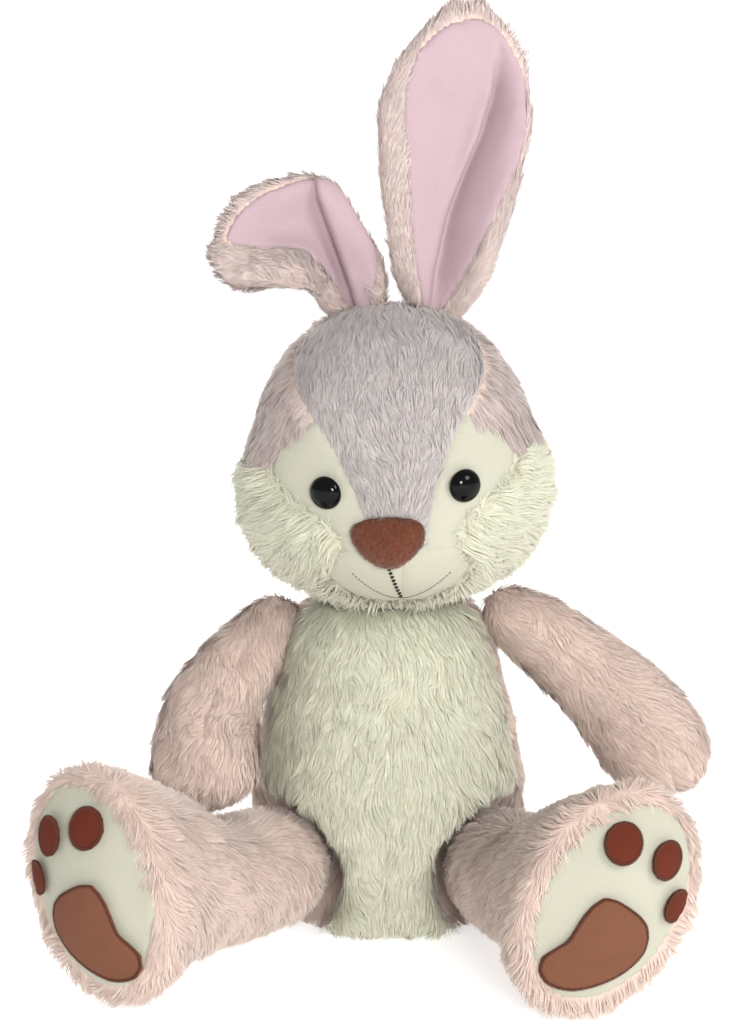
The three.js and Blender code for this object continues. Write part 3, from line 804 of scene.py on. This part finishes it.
# ------------------------------------------------------------------ tail
def rounded(name, node, voxel, rounds=6, grow=0.0):
    """A CAD piece's own shape, smoothed, with its slot's cloth."""
    piece = add_object(name, node_mesh(node, grow))
    remesh = piece.modifiers.new("remesh", "REMESH")
    remesh.mode = "VOXEL"
    remesh.voxel_size = voxel * MM
    bake_modifiers(piece)
    co = coords(piece.data)
    set_coords(piece.data, relax(co, edges_of(piece.data), rounds, len(co)))
    for poly in piece.data.polygons:
        poly.use_smooth = True
    piece.data.materials.clear()
    piece.data.materials.append(BACKING[SLOT_OF[node]])
    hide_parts(node)
    return piece


# a stretched skin takes its filling with it
for body in ("torso", "arm_left", "arm_right"):
    fibre = rounded(f"{body}_filling_fibre", BODIES[body]["fill"], 2.5)
    stretch_root(fibre, body, *ROOT_STRETCH[body])
    attach(fibre, body)

tail = rounded("tail_pompom_cloth", "tail_pompom", 2.5)
tail_middle = middle("tail_pompom")
set_coords(tail.data, tail_middle + (coords(tail.data) - tail_middle) * 0.72)
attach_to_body(tail, "torso")
tail_pile = grow_pile(
    "tail_pompom_pile", tail, "cream_fur", lambda p, n: unit(p - tail_middle) + [0, 0, -0.4],
    length=9, per_mm2=2.2, lean=0.75, width=0.45, clump=4, seed=5, pull=0.15,
)
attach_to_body(tail_pile, "torso")

# ------------------------------------------------------------------ nose and pads
nose = rounded("nose_velvet_piece", "nose", 0.6, 8, 0.35 * MM)
co = coords(nose.data)
low, high = co.min(0), co.max(0)
level = (co[:, 2] - low[2]) / (high[2] - low[2])
co[:, 0] = MUZZLE[0] + (co[:, 0] - MUZZLE[0]) * (1.03 - 0.42 * np.clip(0.75 - level, 0, 1) ** 1.5)
set_coords(nose.data, co)
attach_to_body(nose, "head")
nose_pile = grow_pile(
    "nose_velvet_pile", nose, "nose_velvet", lambda p, n: np.tile([0.3, 0.0, -1.0], (len(p), 1)),
    length=1.7, per_mm2=7, lean=1.15, width=0.26, clump=2.2, seed=3,
)
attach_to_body(nose_pile, "head")


def rim_of(node, count):
    """The outline of a pad's top as evenly spaced points, its middle and its outward normal."""
    co = coords(NODES[node].data)
    centre = co.mean(0)
    _, _, axes = np.linalg.svd(co - centre)
    out = axes[2]
    leg = JOINTS[next(body for body, nodes in BODY_NODES.items() if node in nodes)]
    if out @ (centre - np.array(leg["pos_m"])) < 0:
        out = -out
    bm = bmesh.new()
    bm.from_mesh(NODES[node].data)
    bmesh.ops.remove_doubles(bm, verts=bm.verts, dist=1e-6)
    bm.normal_update()
    top = {f for f in bm.faces if np.array(f.normal) @ out > 0.35}
    follow = {}
    for edge in bm.edges:
        if sum(f in top for f in edge.link_faces) == 1:
            for v in edge.verts:
                follow.setdefault(v, []).append(edge.other_vert(v))
    first = max(follow, key=lambda v: (Vector(centre) - v.co).length)
    loop, at = [first], first
    while True:
        step = [v for v in follow[at] if v not in loop]
        if not step:
            break
        at = step[0]
        loop.append(at)
    ring = np.array([v.co for v in loop])
    bm.free()
    closed = np.vstack([ring, ring[:1]])
    run = np.concatenate([[0], np.cumsum(np.linalg.norm(np.diff(closed, axis=0), axis=1))])
    fine = np.linspace(0, run[-1], count, endpoint=False)
    ring = np.stack([np.interp(fine, run, closed[:, k]) for k in range(3)], 1)
    for _ in range(4):
        ring = (np.roll(ring, 1, 0) + 2 * ring + np.roll(ring, -1, 0)) / 4
    return ring, centre, out


def smooth_piece(name, bm, material):
    """A bmesh as a smooth-shaded object with one material."""
    mesh = bpy.data.meshes.new(name)
    bm.to_mesh(mesh)
    bm.free()
    for poly in mesh.polygons:
        poly.use_smooth = True
    mesh.materials.append(material)
    return add_object(name, mesh)


def thread_ball(bm, at, sides, subdivisions):
    """A rounded length of thread: a ball stretched to the three half lengths in sides."""
    matrix = Matrix([(*side, 0) for side in sides] + [(0, 0, 0, 1)]).transposed()
    matrix.translation = Vector(at)
    bmesh.ops.create_icosphere(bm, subdivisions=subdivisions, radius=1.0, matrix=matrix)


def satin_edge(name, ring, centre, out, body, thread=0.5, reach=0.95):
    """Short close stitches laid across a pad's edge."""
    bm = bmesh.new()
    total = len(ring)
    for i in range(total):
        p = ring[i]
        along = unit((ring[(i + 1) % total] - ring[i - 1])[None])[0]
        across = unit(np.cross(along, out)[None])[0]
        if across @ (p - centre) < 0:
            across = -across
        up = np.cross(across, along)
        if up @ out < 0:
            up = -up
        sides = (across * reach * MM, along * thread * MM, up * 0.5 * MM)
        thread_ball(bm, p + out * 0.25 * MM - across * 0.35 * MM, sides, 1)
    piece = smooth_piece(name, bm, BACKING["edge_thread"])
    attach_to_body(piece, body)
    return piece


for s in SIDES:
    for node in panel_list(f"leg_{s}", "pad"):
        pad = rounded(f"{node}_applique", node, 0.5, 5, 0.2 * MM)
        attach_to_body(pad, f"leg_{s}")
        ring, centre, out = rim_of(node, 120 if "heel" in node else 54)
        satin_edge(f"{node}_satin_edge", ring, centre, out, f"leg_{s}")

# ------------------------------------------------------------------ mouth
face_tree = BVHTree.FromObject(cloths["muzzle_patch_left"][1], bpy.context.evaluated_depsgraph_get())
face_tree_right = BVHTree.FromObject(cloths["muzzle_patch_right"][1], bpy.context.evaluated_depsgraph_get())


def on_face(x, z):
    """The point of the muzzle's cloth at x and z, seen from in front."""
    hits = []
    for tree in (face_tree, face_tree_right):
        hit, normal, _, _ = tree.ray_cast(Vector((x, -1, z)), Vector((0, 1, 0)))
        if hit is not None:
            hits.append((hit.y, hit, normal))
    if not hits:
        return None
    _, hit, normal = min(hits, key=lambda h: h[0])
    return np.array(hit), np.array(normal)


def stitch_row(name, path, length, thread, slot="thread"):
    """A row of stitches, each a small rounded length of thread with a gap after it."""
    bm = bmesh.new()
    for (p, n), (q, _) in zip(path[:-1], path[1:]):
        along = unit((q - p)[None])[0]
        across = unit(np.cross(n, along)[None])[0]
        sides = (along * length * MM, across * thread * MM, n * thread * MM)
        thread_ball(bm, (p + q) / 2 + n * 0.15 * MM, sides, 2)
    piece = smooth_piece(name, bm, BACKING[slot])
    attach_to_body(piece, "head")
    return piece


mouth_low, mouth_high = (np.array(p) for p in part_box("mouth_stitching"))
nose_low, nose_high = (np.array(p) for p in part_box("nose"))
foot_x = (mouth_low[0] + mouth_high[0]) / 2 + 0.001
top_x = (nose_low[0] + nose_high[0]) / 2
foot_z = mouth_low[2] + 1.5 * MM
stem = [
    on_face(top_x + (foot_x - top_x) * t, nose_low[2] + (foot_z - nose_low[2]) * t)
    for t in np.linspace(-0.15, 1, 12)
]
stem = [p for p in stem if p]
stem_piece = stitch_row("mouth_stem_stitches", stem, 0.62, 0.8)
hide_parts("mouth_stitching")
smile = []
for t in np.linspace(-1, 1, 34):
    x = foot_x + t * (mouth_high[0] - mouth_low[0]) / 2
    z = mouth_low[2] + 0.001 + abs(t) ** 1.7 * (mouth_high[2] - mouth_low[2]) * 0.8
    smile.append(on_face(x, z))
smile = [p for p in smile if p]
stitch_row("mouth_smile_stitches", smile, 0.6, 0.2, "smile_thread")

# ------------------------------------------------------------------ eyes
eye_black = new_material("eye_black_gloss", srgb(9, 9, 10), 0.06)
eye_shader = eye_black.node_tree.nodes["Principled BSDF"]
eye_shader.inputs["Specular IOR Level"].default_value = 0.15
scuff = eye_black.node_tree.nodes.new("ShaderNodeTexNoise")
scuff.inputs["Scale"].default_value = 900
spread = eye_black.node_tree.nodes.new("ShaderNodeMapRange")
spread.inputs["To Min"].default_value = 0.04
spread.inputs["To Max"].default_value = 0.09
eye_black.node_tree.links.new(scuff.outputs["Fac"], spread.inputs["Value"])
eye_black.node_tree.links.new(spread.outputs["Result"], eye_shader.inputs["Roughness"])

for s in SIDES:
    co = coords(NODES[f"eye_{s}"].data)
    far = np.linalg.norm(co - HEAD_MIDDLE, axis=1)
    apex = co[far.argmax()]
    inner = co[np.argsort(far)[:8]].mean(0)
    out = unit((apex - inner)[None])[0]
    radius = np.linalg.norm(np.cross(co - apex, out), axis=1).max()
    tall = 4.2 * MM
    bm = bmesh.new()
    turns, rings = 48, 14
    rows = []
    for i in range(rings + 1):
        a = i / rings * math.pi / 2
        r, h = radius * math.cos(a), -tall + tall * math.sin(a)
        rows.append((max(r, 1e-5), h))
    rows = [(2 * MM, -tall - 8 * MM), (2 * MM, -tall - 0.3 * MM), (radius * 0.96, -tall - 0.3 * MM)] + rows
    x = unit(np.cross(out, [0, 0, 1])[None])[0]
    y = np.cross(out, x)
    grid = []
    for r, h in rows:
        grid.append([
            bm.verts.new(apex + out * h + (x * math.cos(t) + y * math.sin(t)) * r)
            for t in np.arange(turns) * 2 * math.pi / turns
        ])
    for upper, lower in zip(grid[1:], grid[:-1]):
        for k in range(turns):
            bm.faces.new([lower[k], lower[(k + 1) % turns], upper[(k + 1) % turns], upper[k]])
    bm.faces.new(grid[0][::-1])
    bmesh.ops.remove_doubles(bm, verts=bm.verts, dist=2e-5)
    bmesh.ops.recalc_face_normals(bm, faces=bm.faces)
    eye = smooth_piece(f"eye_{s}_button", bm, eye_black)
    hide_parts(f"eye_{s}")
    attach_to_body(eye, "head")
    washer = NODES[f"eye_washer_{s}"]
    washer.data.materials.clear()
    washer.data.materials.append(BACKING["washer_plastic"])

for node, obj in NODES.items():
    if node.endswith("filling"):
        obj.data.materials.clear()
        obj.data.materials.append(BACKING["filling"])

# ------------------------------------------------------------------ studio
FLOOR_GLOW, BACKDROP_GLOW, SKY = 0.6, 0.6, 0.4
TOY_MIDDLE = (0, 0, 0.15)


def glowing_sheet(name, half, material, glow):
    """A flat white sheet of the studio, lit a little from within so that it renders white."""
    sheet = add_object(name, bpy.data.meshes.new(name))
    bm = bmesh.new()
    bmesh.ops.create_grid(bm, x_segments=1, y_segments=1, size=half)
    bm.to_mesh(sheet.data)
    bm.free()
    paper = new_material(material, srgb(236, 236, 236), 0.9)
    shader = paper.node_tree.nodes["Principled BSDF"]
    shader.inputs["Emission Color"].default_value = (1, 1, 1, 1)
    shader.inputs["Emission Strength"].default_value = glow
    sheet.data.materials.append(paper)
    return sheet


floor = glowing_sheet("floor", 60, "floor_paper", FLOOR_GLOW)
backdrop = glowing_sheet("backdrop", 12, "backdrop_screen", BACKDROP_GLOW)
backdrop.location = (0, 9, 6)
backdrop.rotation_euler = (math.pi / 2, 0, 0)

world = bpy.data.worlds.new("studio")
world.use_nodes = True
world.node_tree.nodes["Background"].inputs["Color"].default_value = (1.0, 1.0, 1.0, 1.0)
world.node_tree.nodes["Background"].inputs["Strength"].default_value = SKY
bpy.context.scene.world = world


def area_light(name, at, target, size, power):
    data = bpy.data.lights.new(name, "AREA")
    data.shape = "DISK"
    data.size = size
    data.energy = power
    light = bpy.data.objects.new(name, data)
    light.location = at
    light.rotation_euler = (Vector(target) - Vector(at)).to_track_quat("-Z", "Y").to_euler()
    bpy.context.scene.collection.objects.link(light)
    return light


area_light("key", (1.4, -1.3, 1.3), TOY_MIDDLE, 0.8, 20)
area_light("front", (0.35, -2.0, 0.62), TOY_MIDDLE, 0.5, 30)
area_light("back", (-0.5, 2.0, 0.9), TOY_MIDDLE, 1.2, 38)

camera_data = bpy.data.cameras.new("camera")
camera_data.sensor_fit = "VERTICAL"
DISTANCE, RISE = 1.25, math.radians(9.5)
SENSOR, HALF_VIEW = 24, 0.2048
camera_data.sensor_height = SENSOR
camera_data.lens = SENSOR / 2 / (HALF_VIEW / DISTANCE)
camera = bpy.data.objects.new("camera", camera_data)
aim = Vector((-0.008, 0, 0.166))
camera.location = aim + Vector((0, -math.cos(RISE), math.sin(RISE))) * DISTANCE
camera.rotation_euler = (math.pi / 2 - RISE, 0, 0)
bpy.context.scene.collection.objects.link(camera)
bpy.context.scene.camera = camera
bpy.context.scene.view_settings.view_transform = "Standard"
